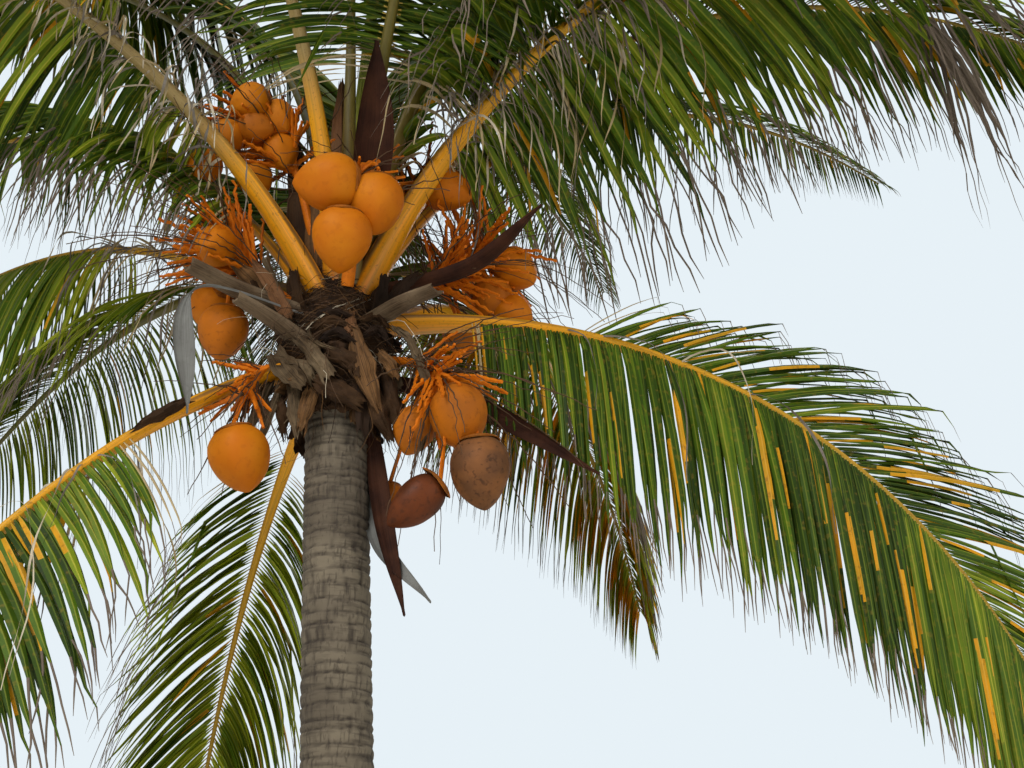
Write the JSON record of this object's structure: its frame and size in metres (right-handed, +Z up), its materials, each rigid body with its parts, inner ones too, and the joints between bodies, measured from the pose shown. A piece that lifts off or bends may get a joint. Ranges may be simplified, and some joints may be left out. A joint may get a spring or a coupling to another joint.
{
  "type": "coconut palm tree",
  "caption": "Young fruiting coconut palm: a leaning ringed trunk, a full crown of arching feather fronds, bunches of orange coconuts, dry spathes and old leaf bases.",
  "frame": {"origin": "middle of the trunk's flat foot at ground level", "axes": "+Z up the tree; +Y away from the viewer of the picture; +X to the viewer's right; the trunk leans toward -X"},
  "size_m": [6.5817, 6.7145, 6.9075],
  "materials": {
    "bark": "rough, ringed with old leaf scars",
    "leaf_sheath": "torn fibre and dry plates",
    "dead_stalk": "dry and weathered",
    "fruit": "smooth waxy skin",
    "spathe": "dry, woody and grooved",
    "foliage": "waxy leaf"
  },
  "bodies": {
    "root": {"trunk": "bark", "leaf_sheath": "leaf_sheath", "spear_leaf": "foliage", "frond_01_inner": "foliage", "frond_01_outer": "foliage", "frond_02_inner": "foliage", "frond_02_outer": "foliage", "frond_03_inner": "foliage", "frond_03_outer": "foliage", "frond_04_inner": "foliage", "frond_04_outer": "foliage", "frond_05_inner": "foliage", "frond_05_outer": "foliage", "frond_06_inner": "foliage", "frond_06_outer": "foliage", "frond_07_inner": "foliage", "frond_07_outer": "foliage", "frond_08_inner": "foliage", "frond_08_outer": "foliage", "frond_09_inner": "foliage", "frond_09_outer": "foliage", "frond_10_inner": "foliage", "frond_10_outer": "foliage", "frond_11_inner": "foliage", "frond_11_outer": "foliage", "frond_12_inner": "foliage", "frond_12_outer": "foliage", "frond_13_inner": "foliage", "frond_13_outer": "foliage", "frond_14_inner": "foliage", "frond_14_outer": "foliage", "frond_15_inner": "foliage", "frond_15_outer": "foliage", "frond_16_inner": "foliage", "frond_16_outer": "foliage", "frond_17_inner": "foliage", "frond_17_outer": "foliage", "frond_18_inner": "foliage", "frond_18_outer": "foliage", "frond_19": "foliage", "frond_20": "foliage", "frond_21": "foliage", "dead_stalk_left": "dead_stalk", "dead_stalk_lower_left": "dead_stalk", "dead_stalk_right": "dead_stalk", "fruit_bunch_front": "fruit", "fruit_bunch_upper_left": "fruit", "fruit_bunch_left": "fruit", "fruit_bunch_lower_left": "fruit", "fruit_bunch_upper_right": "fruit", "fruit_bunch_right": "fruit", "fruit_bunch_lower_right": "fruit", "fruit_bunch_back": "fruit", "spathe_upright": "spathe", "spathe_right": "spathe", "spathe_lower_right": "spathe", "spathe_left": "spathe", "spathe_hanging_dark": "spathe", "spathe_hanging_grey": "spathe"}
  },
  "joints": []
}
